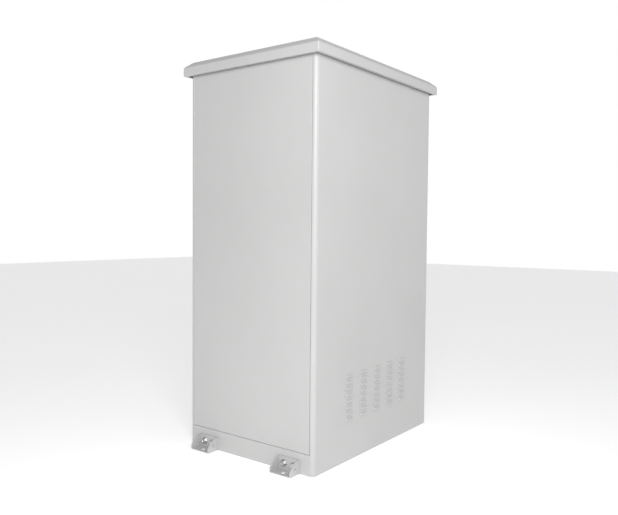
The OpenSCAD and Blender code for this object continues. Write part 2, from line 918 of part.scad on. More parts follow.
// Involute gear outline: pressure angle 25 degrees, with room between the teeth
gear_base_r = gear_r * cos(25);
gear_tip_r = gear_r + 0.85 * gear_m;
gear_root_r = gear_r - 1.2 * gear_m;
function involute(b, t) = [b * (cos(t) + t * PI / 180 * sin(t)), b * (sin(t) - t * PI / 180 * cos(t))];
function involute_t(b, r) = sqrt(pow(r / b, 2) - 1) * 180 / PI;
pitch_t = involute_t(gear_base_r, gear_r);
pitch_point = involute(gear_base_r, pitch_t);
pitch_angle = atan2(pitch_point[1], pitch_point[0]);
tooth_half = 90 / gear_teeth - 1.1;

module gear_tooth() {
    n = 6;
    t1 = involute_t(gear_base_r, gear_tip_r);
    side = [for (i = [0 : n]) involute(gear_base_r, t1 * i / n)];
    a = -tooth_half - pitch_angle;
    low = [for (p = side) [p[0] * cos(a) - p[1] * sin(a), p[0] * sin(a) + p[1] * cos(a)]];
    high = [for (i = [n : -1 : 0]) [low[i][0], -low[i][1]]];
    polygon(concat([[gear_root_r - 1, low[0][1]]], low, high, [[gear_root_r - 1, -low[0][1]]]));
}

module pinion_plan() {
    circle(r = gear_root_r);
    for (i = [0 : gear_teeth - 1]) rotate(360 / gear_teeth * i) gear_tooth();
}

// Rack teeth along Z: pitch line at x = 0, teeth towards +X, a gap centred on z = 0
module rack_plan(n0, n1) {
    p = PI * gear_m;
    half = p / 4 - 0.25;
    up = 0.85 * gear_m;
    down = 1.2 * gear_m;
    for (i = [n0 : n1])
        translate([0, (i + 0.5) * p])
            polygon([[-down - 0.5, -half - (down + 0.5) * tan(25)], [up, -half + up * tan(25)],
                     [up, half - up * tan(25)], [-down - 0.5, half + (down + 0.5) * tan(25)]]);
}

module handle_spindle() {
    color(zinc)
        translate([-handle_x, 0, handle_z]) {
            y_rod(9, -hd - 10, rod_y + 12);
            y_rod(13.5, -hd - 9, -hd - 6.3);
            difference() {
                intersection() {
                    box([-13, 13], [-hd - 26, -hd - 9], [-14, 14]);
                    y_rod(17, -hd - 27, -hd - 8);
                }
                box([-6.4, 6.4], [-hd - 27, -hd - 9.2], [-20, 20]);
                translate([0, -hd - 17, 0]) x_rod(2.5, -14, 14);
            }
            translate([0, rod_y + 4, 0]) rotate([90, 0, 0]) linear_extrude(8) pinion_plan();
            difference() {
                union() {
                    box([-42, 0], [rod_y + 7, rod_y + 11], [-8, 8]);
                    box([-42, -35], [rod_y - 7, rod_y + 11], [-8, 8]);
                }
                box([-43, -34], [rod_y - 8, rod_y - 6.5], [-9, 9]);
            }
        }
}

module lever_pin() {
    color(steel)
        translate([-handle_x, -hd - 17, handle_z]) x_rod(2.45, -13, 13);
}

module handle_lever() {
    color(black)
        translate([-handle_x, -hd - 17, handle_z])
            difference() {
                union() {
                    x_rod(7, -6, 6);
                    box([-6, 6], [-7, 6], [-22, 0]);
                    hull() {
                        box([-12.5, 12.5], [-6, 7], [-32, -20]);
                        box([-9, 9], [-8, -2], [-30, -21]);
                        box([-12.5, 12.5], [0, 7], [-164, -150]);
                        box([-9, 9], [-5, 7], [-160, -150]);
                    }
                }
                x_rod(2.5, -8, 8);
            }
}

module key_plug() {
    color(zinc)
        translate([-handle_x, 0, key_z])
            difference() {
                union() {
                    y_rod(8, -hd - 8, -hd + 12);
                    box([-5, 5], [-hd + 8, -hd + 11], [-26, 0]);
                }
                box([-1, 1], [-hd - 9, -hd], [-4.5, 4.5]);
            }
}

module lock_case() {
    x0 = -handle_x - 24;
    x1 = -handle_x + 24;
    color(zinc)
        difference() {
            union() {
                box([x0, x1], [rod_y - 12, rod_y - 8], [handle_z - 50, handle_z + 50]);
                for (x = [x0, x1 - 4])
                    box([x, x + 4], [-hd + sheet, rod_y - 8], [handle_z - 50, handle_z + 50]);
                for (s = [-1, 1]) lock_guide(s * rod_dx, handle_z + s * -60);
                lock_guide(-rod_dx, handle_z + 140);
                lock_guide(-rod_dx, door_top - 60);
                lock_guide(rod_dx, handle_z - 140);
                lock_guide(rod_dx, door_bottom + 60);
            }
            translate([-handle_x, 0, handle_z]) y_rod(9.1, rod_y - 13, rod_y - 7);
        }
}

// A guide that carries one lock rod off the door sheet
module lock_guide(dx, z) {
    translate([-handle_x + dx, 0, z])
        difference() {
            box([-7, 7], [-hd + sheet, rod_y + 8], [-5, 5]);
            translate([0, rod_y, -6]) cylinder(r = 5.1, h = 12);
        }
}

// A lock rod with its rack: dir = 1 runs up on the left of the spindle, -1 down on the right
module lock_rod(dir) {
    end_z = dir > 0 ? head_front - 3 : sill_h + 5;
    translate([-handle_x, rod_y, handle_z]) {
        translate([-dir * rod_dx, 0, 0])
            translate([0, 0, dir > 0 ? 24 : end_z - handle_z])
                cylinder(r = 5, h = abs(end_z - handle_z) - 24);
        rotate([90, 0, 0]) translate([0, 0, -4])
            linear_extrude(8)
                rotate(dir > 0 ? 0 : 180) {
                    translate([-gear_r, 0]) rack_plan(-1, 4);
                    flat([-23, -gear_r - 1.2 * gear_m], [-7, 34]);
                }
    }
}

module lock_rod_upper() {
    color(zinc) lock_rod(1);
}

module lock_rod_lower() {
    color(zinc) lock_rod(-1);
}

// ---- assembly ----

sill_rails();
side_rails();
corner_posts();
head_frame();
floor_plate();
gland_plate();
cable_glands();
gland_nuts();
side_wall_left();
side_wall_right();
roof_deck();
rain_hood();
hood_spacers();
roof_fixings();
depth_rail(-1, tube_low_z);  // depth_rail_left_low
depth_rail(-1, tube_top_z);  // depth_rail_left_top
depth_rail(1, tube_low_z);  // depth_rail_right_low
depth_rail(1, tube_top_z);  // depth_rail_right_top
rack_rail(-1, -1);  // rack_rail_front_left
rack_rail(1, -1);  // rack_rail_front_right
rack_rail(-1, 1);  // rack_rail_rear_left
rack_rail(1, 1);  // rack_rail_rear_right
rack_fixings();
equipment_shelf();
power_strip();
breaker_panel();
din_rail();
main_breaker();
breaker_toggle();
earth_bar();
earth_bar_stands();
fan_housing(-1);  // fan_housing_front
fan_housing(1);  // fan_housing_rear
fan_rotor(-1);  // fan_rotor_front
fan_rotor(1);  // fan_rotor_rear
fan_guards();
filter_frame();
filter_mat();
rear_panel();
rear_gasket();
rear_panel_screws();
anchor_brackets();
bracket_bolts();
bracket_washers();
bracket_nuts();
door_leaf();
door_stiffeners();
door_gasket();
document_pocket();
hinge_frame_leaves();
hinge_door_leaves();
hinge_pins();
handle_plate();
handle_spindle();
handle_lever();
lever_pin();
key_plug();
lock_case();
lock_rod_upper();
lock_rod_lower();
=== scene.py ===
"""Roadside utility cabinet: sheet-metal pieces, finishes and a studio around the CAD frame."""
import math

import bmesh
import bpy
from bpy.props import FloatProperty, FloatVectorProperty, IntProperty, PointerProperty
from mathutils import Matrix, Vector


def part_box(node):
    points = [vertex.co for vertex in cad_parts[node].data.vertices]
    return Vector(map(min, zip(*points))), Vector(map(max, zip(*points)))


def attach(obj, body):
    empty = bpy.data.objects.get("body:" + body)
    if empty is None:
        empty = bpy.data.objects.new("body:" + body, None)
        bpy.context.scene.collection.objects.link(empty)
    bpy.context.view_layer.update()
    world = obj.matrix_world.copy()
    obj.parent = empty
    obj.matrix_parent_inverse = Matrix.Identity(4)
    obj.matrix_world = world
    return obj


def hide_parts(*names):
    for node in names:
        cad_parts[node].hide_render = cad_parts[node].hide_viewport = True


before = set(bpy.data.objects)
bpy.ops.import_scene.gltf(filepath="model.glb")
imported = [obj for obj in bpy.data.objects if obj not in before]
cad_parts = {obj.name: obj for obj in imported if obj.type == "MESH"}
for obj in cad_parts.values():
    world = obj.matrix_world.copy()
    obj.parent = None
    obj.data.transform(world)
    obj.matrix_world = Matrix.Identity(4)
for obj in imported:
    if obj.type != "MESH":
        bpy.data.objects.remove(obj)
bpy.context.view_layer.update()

bl_info = {
    "name": "Roadside Cabinet",
    "version": (1, 0, 0),
    "blender": (4, 5, 0),
    "location": "3D View > Sidebar > Cabinet",
    "description": "Builds the visible sheet-metal pieces and finishes of a roadside cabinet",
    "category": "Add Mesh",
}

MM = 0.001
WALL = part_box("side_wall_right")
LOUVRED_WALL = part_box("side_wall_left")
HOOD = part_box("rain_hood")
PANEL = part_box("rear_panel")
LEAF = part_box("door_leaf")
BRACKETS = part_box("anchor_brackets")
HANDLE_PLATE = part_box("handle_plate")
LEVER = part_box("handle_lever")
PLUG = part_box("key_plug")
HALF_WIDTH = WALL[1].x
HALF_DEPTH = WALL[1].y
TOUCHING = 1e-6


# ---- sizes and finishes that a user may change ----

def length(name, description, default, **extra):
    """A length in metres."""
    return FloatProperty(name=name, description=description, default=default, unit="LENGTH",
                         subtype="DISTANCE", precision=4, **extra)


def shade(name, description, default):
    """A linear colour without alpha."""
    return FloatVectorProperty(name=name, description=description, default=default, subtype="COLOR",
                               size=3, min=0.0, max=1.0)


def strength(name, description, default, **extra):
    """A strength of light, never below nothing."""
    return FloatProperty(name=name, description=description, default=default, min=0.0, **extra)


class BodySizes(bpy.types.PropertyGroup):
    """Folded sheet of the walls, door, rear panel and hood."""
    sheet: length("Sheet", "Thickness of the folded sheet", 2 * MM)
    corner: length("Corner radius", "Outer radius of the wall's corner folds", 17 * MM)
    fold: length("Fold radius", "Outer radius of the folds of the walls and the door", 2.4 * MM)
    jamb: length("Jamb width", "Width of the wall's face beside the door", 20 * MM)
    seal_depth: length("Lip depth", "Depth of the sealing lip behind the face", 28 * MM)
    edge_break: length("Edge break", "Width of the broken edge on thick parts", 0.6 * MM)
    leaf_depth: length("Leaf depth", "Depth of the door and of the rear panel", 20 * MM)
    door_gap: length("Door gap", "Gap round the front door", 4 * MM)
    panel_gap: length("Panel gap", "Gap round the rear panel", 1.2 * MM)
    panel_fold: length("Panel fold radius", "Outer radius of the rear panel's folds", 1.4 * MM)
    door_return: length("Door return", "Width of the door's inner return", 18 * MM)
    panel_return: length("Panel return", "Width of the rear panel's inner return", 26 * MM)


class HoodSizes(bpy.types.PropertyGroup):
    """The raised rain hood."""
    edge: length("Edge height", "Height of the upright edge", 36 * MM)
    run: length("Slope width", "Width of the sloping edge", 30 * MM)
    lip: length("Lip width", "Width of the lip folded in underneath", 14 * MM)
    fold: length("Fold radius", "Outer radius of the hood's folds", 4 * MM)


class LouvreSizes(bpy.types.PropertyGroup):
    """The field of pressed louvres in the left wall."""
    columns: IntProperty(name="Columns", description="Louvres side by side", default=5, min=1)
    rows: IntProperty(name="Rows", description="Louvres above each other", default=8, min=1)
    column_step: length("Column step", "Distance between the columns", 106 * MM)
    row_step: length("Row step", "Distance between the rows", 25 * MM)
    first_row: length("First row", "Height of the lowest louvre's bend", 169 * MM)
    offset: length("Offset", "Offset of the field from the wall's middle", 5 * MM)
    width: length("Width", "Width of one louvre", 45 * MM)
    sheet: length("Pressed sheet", "Thickness of the drawn sheet", 1.3 * MM)
    above: length("Height above", "Height of a louvre above its bend", 8 * MM)
    below: length("Height below", "Height of a louvre below its bend", 6 * MM)
    sink: length("Sink", "Depth of a louvre's rim in the wall", 0.6 * MM)
    window_above: length("Window above", "Height of the cut window above the bend", 5 * MM)
    window_below: length("Window below", "Height of the cut window below the bend", 6 * MM)
    window_inset: length("Window inset", "Wall left at each end of the window", 1.5 * MM)


class BracketSizes(bpy.types.PropertyGroup):
    """The four anchor brackets and their fixings."""
    spacing: length("Spacing", "Distance of a bracket from the middle", 215 * MM)
    width: length("Width", "Width across a bracket's ears", 100 * MM)
    plate: length("Plate", "Thickness of the bracket's plates", 4 * MM)
    anchor_out: length("Anchor distance", "Distance of the anchor hole from the sill", 36 * MM)
    anchor_radius: length("Anchor radius", "Radius of the anchor hole", 9 * MM)
    bolt_spread: length("Bolt spread", "Half the distance between the two bolts", 23 * MM)
    bolt_height: length("Bolt height", "Height of the bolts", 28 * MM)
    bolt_hole: length("Bolt hole", "Radius of the holes for the bolts", 6.5 * MM)
    back_rim: length("Back plate rim", "Width of the back plate beyond an ear", 5 * MM)
    washer_radius: length("Washer radius", "Outer radius of a washer", 14 * MM)
    washer: length("Washer", "Thickness of a washer", 2.5 * MM)


class Finishes(bpy.types.PropertyGroup):
    """Colours of the finishes."""
    paint: shade("Body paint", "Light grey powder coat", (0.495, 0.495, 0.493))
    steel: shade("Galvanised steel", "Hot-dipped sheet", (0.58, 0.60, 0.62))
    zinc: shade("Zinc plating", "Plated fixings", (0.60, 0.61, 0.62))
    black: shade("Black plastic", "Moulded black parts", (0.018, 0.018, 0.02))
    rubber: shade("Seal rubber", "Foam seals", (0.014, 0.014, 0.014))
    fleece: shade("Filter fleece", "Coarse filter mat", (0.30, 0.32, 0.33))
    pale: shade("Pale plastic", "Breaker housing", (0.62, 0.61, 0.56))
    copper: shade("Copper", "Bare bar", (0.62, 0.27, 0.14))
    resin: shade("Insulator resin", "Stand-off insulators", (0.22, 0.02, 0.014))


# ---- shader helpers ----

class Value:
    """A shader value that Python arithmetic turns into Math nodes."""

    def __init__(self, graph, socket):
        self.graph = graph
        self.socket = socket

    def maths(self, operation, *values):
        """A Math node of that operation, fed with numbers or shader values."""
        return self.graph.node("ShaderNodeMath", {"operation": operation}, dict(enumerate(values)))

    def __add__(self, other):
        return self.maths("ADD", self, other)

    def __mul__(self, other):
        return self.maths("MULTIPLY", self, other)

    __radd__ = __add__
    __rmul__ = __mul__


class Graph:
    """The node tree of a finish, or of the surroundings."""

    def __init__(self, owner):
        owner.use_nodes = True
        self.owner = owner
        self.tree = owner.node_tree
        self.tree.nodes.clear()

    def node(self, kind, settings=None, values=None, output=0):
        """A node of that kind, with its settings and a number, colour or link for each socket."""
        made = self.tree.nodes.new(kind)
        for name, value in (settings or {}).items():
            if name == "stops":
                ramp = made.color_ramp
                for element, (place, tone) in zip(ramp.elements, value):
                    element.position = place
                    element.color = (tone, tone, tone, 1.0)
            else:
                setattr(made, name, value)
        for name, value in (values or {}).items():
            if isinstance(value, Value):
                self.tree.links.new(value.socket, made.inputs[name])
            else:
                made.inputs[name].default_value = value
        return Value(self, made.outputs[output])

    def place(self, scale=(1.0, 1.0, 1.0)):
        """The piece's own coordinates, stretched."""
        coords = self.node("ShaderNodeTexCoord", output="Object")
        return self.node("ShaderNodeMapping", {"vector_type": "POINT"},
                         {"Vector": coords, "Scale": scale})

    def noise(self, where, scale, detail=2.0, roughness=0.5):
        """Soft noise at those coordinates; a larger scale is finer."""
        return self.node("ShaderNodeTexNoise", {"noise_dimensions": "3D"},
                         {"Vector": where, "Scale": scale, "Detail": detail,
                          "Roughness": roughness})

    def ramp(self, value, *stops):
        """A grey ramp with two stops, each a place and a tone."""
        return self.node("ShaderNodeValToRGB", {"stops": stops}, {"Fac": value})

    def mix(self, share, first, second):
        """Two colours mixed by a share."""
        return self.node("ShaderNodeMix", {"data_type": "RGBA"},
                         {"Factor": share, 6: first, 7: second}, output=2)

    def bump(self, height, strength, distance):
        """A normal raised by a height, over a distance in metres."""
        return self.node("ShaderNodeBump", {},
                         {"Height": height, "Strength": strength, "Distance": distance})

    def finish(self, **sockets):
        """The surface shader; spaces in socket names are given as underscores."""
        names = {key.replace("_", " "): value for key, value in sockets.items()}
        self.put_out(self.node("ShaderNodeBsdfPrincipled", {}, names), "ShaderNodeOutputMaterial")
        return self.owner

    def put_out(self, shader, kind):
        """Links a shader to an output node of that kind."""
        out = self.tree.nodes.new(kind)
        self.tree.links.new(shader.socket, out.inputs["Surface"])


def tint(colour, factor):
    """The colour made lighter or darker, with alpha."""
    return tuple(min(1.0, c * factor) for c in colour) + (1.0,)


# ---- finishes, one for each slot of the record ----

def body_paint(colour):
    """Satin powder coat: faint orange peel, and a colour that is almost even."""
    g = Graph(bpy.data.materials.new("powder_coat"))
    where = g.place()
    broad = g.noise(where, 2.6, 3.0)
    peel = g.noise(where, 620.0, 2.0, 0.45)
    grain = g.noise(where, 2300.0, 1.0)
    height = peel * 0.8 + grain * 0.2
    return g.finish(
        Base_Color=g.mix(g.ramp(broad, (0.35, 0.0), (0.65, 1.0)),
                         tint(colour, 0.985), tint(colour, 1.015)),
        Roughness=0.30 + peel * 0.10 + broad * 0.05,
        IOR=1.5,
        Normal=g.bump(height, 0.22, 0.00012))


def galvanised_steel(colour):
    """Zinc spangle on rolled sheet."""
    g = Graph(bpy.data.materials.new("galvanised_sheet"))
    where = g.place()
    spangle = g.node("ShaderNodeTexVoronoi", {"feature": "F1", "voronoi_dimensions": "3D"},
                     {"Vector": where, "Scale": 95.0, "Randomness": 1.0}, output="Color")
    cell = g.node("ShaderNodeSeparateColor", {"mode": "RGB"}, {"Color": spangle})
    broad = g.noise(where, 14.0, 3.0)
    fine = g.noise(where, 900.0, 2.0)
    share = cell * 0.65 + broad * 0.35
    return g.finish(
        Base_Color=g.mix(share, tint(colour, 0.80), tint(colour, 1.12)),
        Metallic=0.92,
        Roughness=0.33 + cell * 0.14 + fine * 0.06,
        Normal=g.bump(cell * 0.5 + fine * 0.5, 0.10, 0.0001))


def zinc_steel(colour):
    """Bright zinc plating with faint turning marks."""
    g = Graph(bpy.data.materials.new("zinc_plated"))
    where = g.place()
    broad = g.noise(where, 55.0, 3.0)
    fine = g.noise(where, 1400.0, 2.0)
    return g.finish(
        Base_Color=g.mix(broad, tint(colour, 0.88), tint(colour, 1.08)),
        Metallic=1.0,
        Roughness=0.25 + broad * 0.14 + fine * 0.05,
        Normal=g.bump(fine, 0.08, 0.0001))


def black_plastic(colour):
    """Moulded black nylon with a fine spark texture."""
    g = Graph(bpy.data.materials.new("black_nylon"))
    where = g.place()
    broad = g.noise(where, 24.0, 2.0)
    grain = g.noise(where, 1800.0, 2.0, 0.6)
    return g.finish(
        Base_Color=g.mix(broad, tint(colour, 0.85), tint(colour, 1.2)),
        Roughness=0.40 + grain * 0.14,
        IOR=1.52,
        Normal=g.bump(grain, 0.25, 0.0001))


def seal_rubber(colour):
    """Matt closed-cell foam."""
    g = Graph(bpy.data.materials.new("foam_seal"))
    where = g.place()
    pores = g.noise(where, 1300.0, 2.0, 0.7)
    return g.finish(
        Base_Color=g.mix(pores, tint(colour, 0.7), tint(colour, 1.5)),
        Roughness=0.78 + pores * 0.15,
        Normal=g.bump(pores, 0.5, 0.0002))


def filter_fleece(colour):
    """Matted fibres running every way."""
    g = Graph(bpy.data.materials.new("filter_fleece"))
    along = g.noise(g.place((1.0, 1.0, 6.0)), 320.0, 4.0, 0.7)
    across = g.noise(g.place((1.0, 6.0, 1.0)), 320.0, 4.0, 0.7)
    fibres = along.maths("MAXIMUM", along, across)
    return g.finish(
        Base_Color=g.mix(g.ramp(fibres, (0.42, 0.0), (0.72, 1.0)),
                         tint(colour, 0.55), tint(colour, 1.25)),
        Roughness=0.95,
        Normal=g.bump(fibres, 0.8, 0.0012))


def pale_plastic(colour):
    """Smooth pale housing plastic."""
    g = Graph(bpy.data.materials.new("pale_housing"))
    where = g.place()
    broad = g.noise(where, 30.0, 2.0)
    grain = g.noise(where, 1500.0, 2.0)
    return g.finish(
        Base_Color=g.mix(broad, tint(colour, 0.97), tint(colour, 1.03)),
        Roughness=0.34 + grain * 0.1,
        Normal=g.bump(grain, 0.08, 0.0001))


def bare_copper(colour):
    """Rolled copper, a little dulled."""
    g = Graph(bpy.data.materials.new("rolled_copper"))
    drawn = g.noise(g.place((1.0, 18.0, 18.0)), 42.0, 4.0)
    dull = g.noise(g.place(), 28.0, 4.0, 0.6)
    return g.finish(
        Base_Color=g.mix(g.ramp(dull, (0.4, 0.0), (0.7, 1.0)),
                         tint(colour, 1.1), tint(colour, 0.62)),
        Metallic=1.0,
        Roughness=0.24 + dull * 0.2 + drawn * 0.08,
        Normal=g.bump(drawn, 0.08, 0.0001))


def insulator_resin(colour):
    """Glossy moulded resin."""
    g = Graph(bpy.data.materials.new("insulator_resin"))
    flow = g.noise(g.place(), 45.0, 4.0)
    return g.finish(
        Base_Color=g.mix(flow, tint(colour, 0.75), tint(colour, 1.25)),
        Roughness=0.22 + flow * 0.12,
        Coat_Weight=0.3,
        Normal=g.bump(flow, 0.05, 0.0004))


FINISHES = {
    "body_paint": (body_paint, "paint"),
    "galvanised_steel": (galvanised_steel, "steel"),
    "zinc_steel": (zinc_steel, "zinc"),
    "black_plastic": (black_plastic, "black"),
    "seal_rubber": (seal_rubber, "rubber"),
    "filter_fleece": (filter_fleece, "fleece"),
    "pale_plastic": (pale_plastic, "pale"),
    "copper": (bare_copper, "copper"),
    "red_insulator": (insulator_resin, "resin"),
}
MADE = {}


def finish_for(slot):
    """The material of a record slot, made once."""
    if slot not in MADE:
        make, colour = FINISHES[slot]
        MADE[slot] = make(tuple(getattr(bpy.context.scene.cabinet_finishes, colour)))
    return MADE[slot]


# ---- mesh helpers ----

CIRCLE_SIDES = 48
HOLE_SIDES = 32
BIG_RADIUS = 8 * MM


def verts_of(made):
    """The vertices that a mesh operator made."""
    return [item for item in made["geom"] if isinstance(item, bmesh.types.BMVert)]


def edges_of(made):
    """The edges that a mesh operator made."""
    return [item for item in made["geom"] if isinstance(item, bmesh.types.BMEdge)]


def faces_of(made):
    """The faces that a mesh operator made."""
    return [item for item in made["geom"] if isinstance(item, bmesh.types.BMFace)]


def faces_at(verts):
    """The faces that meet at those vertices, each once."""
    return list(dict.fromkeys(face for vert in verts for face in vert.link_faces))


def loop(bm, points, z=0.0):
    """The edges of a new closed loop through points at one height."""
    verts = [bm.verts.new((point[0], point[1], z)) for point in points]
    return [bm.edges.new(pair) for pair in zip(verts, verts[1:] + verts[:1])]


def circle(bm, radius, sides, x=0.0, y=0.0):
    """The edges of a new circle in the XY plane, each once."""
    ring = bmesh.ops.create_circle(bm, segments=sides, radius=radius,
                                   matrix=Matrix.Translation((x, y, 0.0)))["verts"]
    return list(dict.fromkeys(edge for vert in ring for edge in vert.link_edges))


def fill(bm, edges):
    """Fills the area between flat loops and returns the faces."""
    return faces_of(bmesh.ops.triangle_fill(bm, use_beauty=True, use_dissolve=False, edges=edges,
                                            normal=(0.0, 0.0, 1.0)))


def flat_ring(bm, outer, inner, sides):
    """The faces between two circles round the origin."""
    edges = circle(bm, outer, sides) + circle(bm, inner, sides)
    return bmesh.ops.bridge_loops(bm, edges=edges)["faces"]


def outline(bm, corners):
    """A flat face in the XY plane; a corner with a third number is rounded to that radius."""
    points = [edge.verts[0] for edge in loop(bm, corners)]
    bm.faces.new(points)
    for point, corner in zip(points, corners):
        if len(corner) > 2 and corner[2] > 0:
            bmesh.ops.bevel(bm, geom=[point], offset=corner[2], offset_type="OFFSET",
                            segments=10 if corner[2] > BIG_RADIUS else 5, profile=0.5,
                            affect="VERTICES", material=-1)


def flat_plate(bm, corners, holes=()):
    """The faces of a flat outline; each hole is an x, a y and a radius."""
    known = set(bm.faces)
    outline(bm, corners)
    faces = [face for face in bm.faces if face not in known]
    if not holes:
        return faces
    edges = list(faces[0].edges)
    bmesh.ops.delete(bm, geom=faces, context="FACES_ONLY")
    for x, y, radius in holes:
        edges += circle(bm, radius, HOLE_SIDES, x, y)
    return fill(bm, edges)


def solid(bm, faces, depth):
    """Draws flat faces out by a depth along Z into a closed solid and returns its vertices."""
    base = {vert for face in faces for vert in face.verts}
    top = verts_of(bmesh.ops.extrude_face_region(bm, geom=faces))
    bmesh.ops.translate(bm, verts=top, vec=(0.0, 0.0, depth))
    return list(base) + top


def plate(bm, corners, depth, where=Matrix.Identity(4), holes=()):
    """A solid plate from an outline in its own XY plane, set in place by a matrix."""
    verts = solid(bm, flat_plate(bm, corners, holes), depth)
    bmesh.ops.transform(bm, verts=verts, matrix=where)
    return verts


def rectangle(x0, x1, y0, y1, radius=0.0):
    """The corners of a rectangle, all with one radius."""
    return [(x0, y0, radius), (x1, y0, radius), (x1, y1, radius), (x0, y1, radius)]


def facing(side, y, x=0.0, z=0.0):
    """Stands a piece drawn in XY upright, its face to the rear (+1) or to the front (-1)."""
    return Matrix(((-side, 0, 0, x), (0, 0, side, y), (0, 1, 0, z), (0, 0, 0, 1)))


def across(x):
    """Stands a piece drawn in XY upright: its X goes outwards, its Y up, its depth along X."""
    return Matrix(((0, 0, 1, x), (1, 0, 0, 0), (0, 1, 0, 0), (0, 0, 0, 1)))


def lift(z):
    """Moves a piece along Z."""
    return Matrix.Translation((0.0, 0.0, z))


def folds(bm, angle=30.0):
    """The edges where two faces meet at more than an angle in degrees."""
    limit = math.radians(angle)
    return [edge for edge in bm.edges
            if len(edge.link_faces) == 2 and edge.calc_face_angle(0.0) > limit]


def round_edges(bm, edges, width, segments=2):
    """Rounds edges by a width."""
    bmesh.ops.bevel(bm, geom=edges, offset=width, offset_type="OFFSET", segments=segments,
                    profile=0.5, affect="EDGES", material=-1, clamp_overlap=True)


def show(name, data):
    """A new object of that data, put into the scene."""
    made = bpy.data.objects.new(name, data)
    bpy.context.scene.collection.objects.link(made)
    return made


def mesh_of(name, bm):
    """The finished mesh of a piece."""
    mesh = bpy.data.meshes.new(name)
    bm.to_mesh(mesh)
    bm.free()
    return mesh


def add_piece(name, bm, body, slot, nodes, smooth=50.0, wall=0.0):
    """Makes the object of a finished mesh, lets it ride on a body and stand for its CAD nodes."""
    mesh = mesh_of(name, bm)
    piece = show(name, mesh)
    mesh.shade_smooth()
    mesh.set_sharp_from_angle(angle=math.radians(smooth))
    if wall:
        thick = piece.modifiers.new("wall", "SOLIDIFY")
        thick.thickness = wall
        thick.offset = -1.0
        thick.use_even_offset = True
    normals = piece.modifiers.new("normals", "WEIGHTED_NORMAL")
    normals.keep_sharp = True
    mesh.materials.append(finish_for(slot))
    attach(piece, body)
    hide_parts(*nodes)


def close_up(bm):
    """Merges doubles and turns every face outwards."""
    bmesh.ops.remove_doubles(bm, verts=bm.verts, dist=TOUCHING)
    bmesh.ops.recalc_face_normals(bm, faces=bm.faces)


# ---- side walls ----

def wall_shell(sizes):
    """The right wall: one sheet folded round both corners, with a jamb and a lip at each end."""
    bm = bmesh.new()
    w, d, t = HALF_WIDTH, HALF_DEPTH, sizes.sheet
    jamb = w - sizes.jamb
    start = jamb + sizes.fold
    skin = [(start, -d), (w, -d, sizes.corner), (w, d, sizes.corner), (start, d),
            (start, d - t), (w - t, d - t, sizes.corner - t),
            (w - t, t - d, sizes.corner - t), (start, t - d)]
    low, high = WALL[0].z, WALL[1].z
    plate(bm, skin, high - low, lift(low))
    sill = PANEL[0].z - sizes.panel_gap
    seal = d - sizes.seal_depth
    for side, top in ((-1, LEAF[1].z + sizes.door_gap), (1, PANEL[1].z + sizes.panel_gap)):
        for below, above in ((low, sill), (top, high)):
            strip = rectangle(jamb, start, *sorted((side * d, side * (d - t))))
            plate(bm, strip, above - below, lift(below))
        turned = [(start, side * d), (jamb, side * d, sizes.fold),
                  (jamb, side * seal, sizes.fold - t),
                  (WALL[0].x, side * seal), (WALL[0].x, side * (seal - t)),
                  (jamb + t, side * (seal - t), sizes.fold),
                  (jamb + t, side * (d - t), sizes.fold - t), (start, side * (d - t))]
        plate(bm, turned, top - sill, lift(sill))
    close_up(bm)
    return bm


def louvre_places(louvres):
    """Centres of the louvres on the wall, as y and z."""
    middle = (louvres.columns - 1) / 2
    return [(louvres.offset + (column - middle) * louvres.column_step,
             louvres.first_row + row * louvres.row_step)
            for column in range(louvres.columns) for row in range(louvres.rows)]


def cut_windows(bm, places, louvres, sheet):
    """Opens a window through the left wall behind each louvre."""
    half_width = louvres.width / 2 - louvres.window_inset
    below, above = louvres.window_below, louvres.window_above
    levels = {(axis, round(place[axis] + step, 5)) for place in places
              for axis, step in ((0, -half_width), (0, half_width), (1, -below), (1, above))}
    for axis, level in sorted(levels):
        point = (0.0, level, 0.0) if axis == 0 else (0.0, 0.0, level)
        normal = (0.0, 1.0, 0.0) if axis == 0 else (0.0, 0.0, 1.0)
        bmesh.ops.bisect_plane(bm, geom=bm.verts[:] + bm.edges[:] + bm.faces[:], dist=TOUCHING,
                               plane_co=point, plane_no=normal)
    found = {}
    for face in bm.faces:
        if abs(face.normal.x) > 0.99:
            centre = face.calc_center_median()
            found[round(centre.x, 3), round(centre.y, 4), round(centre.z, 4)] = face
    for y, z in places:
        key = (round(y, 4), round(z + (above - below) / 2, 4))
        pair = [found[(round(x, 3),) + key] for x in (-HALF_WIDTH, -HALF_WIDTH + sheet)]
        edges = [edge for face in pair for edge in face.edges]
        bmesh.ops.delete(bm, geom=pair, context="FACES_ONLY")
        bmesh.ops.bridge_loops(bm, edges=edges)


LOUVRE_STRAIGHT = 0.86
LOUVRE_CREST = 0.78
LOUVRE_CURVE = 1.3


def press_louvre(bm, y, z, louvres, reach):
    """One drawn louvre: a scoop with rounded ends, open at its lower edge.

    It is straight over a share of its width and stands out most at a share of its height.
    """
    verts = bmesh.ops.create_grid(bm, x_segments=14, y_segments=8, size=0.5)["verts"]
    for vert in verts:
        aside = math.sin(math.pi * vert.co.x)
        down = 0.5 - vert.co.y
        end = max(0.0, (abs(aside) - LOUVRE_STRAIGHT) / (1.0 - LOUVRE_STRAIGHT))
        rise = math.sin(math.pi / 2 * min(1.0, down / LOUVRE_CREST)) ** LOUVRE_CURVE
        bulge = rise * math.sqrt(max(0.0, 1.0 - end * end))
        vert.co = (-HALF_WIDTH + louvres.sink - (reach + louvres.sink) * bulge,
                   y - aside * louvres.width / 2,
                   z + louvres.above - (louvres.above + louvres.below) * down)
    faces = faces_at(verts)
    bmesh.ops.recalc_face_normals(bm, faces=faces)
    if sum(face.normal.x * face.calc_area() for face in faces) > 0:
        bmesh.ops.reverse_faces(bm, faces=faces)
    bmesh.ops.solidify(bm, geom=faces, thickness=louvres.sheet)


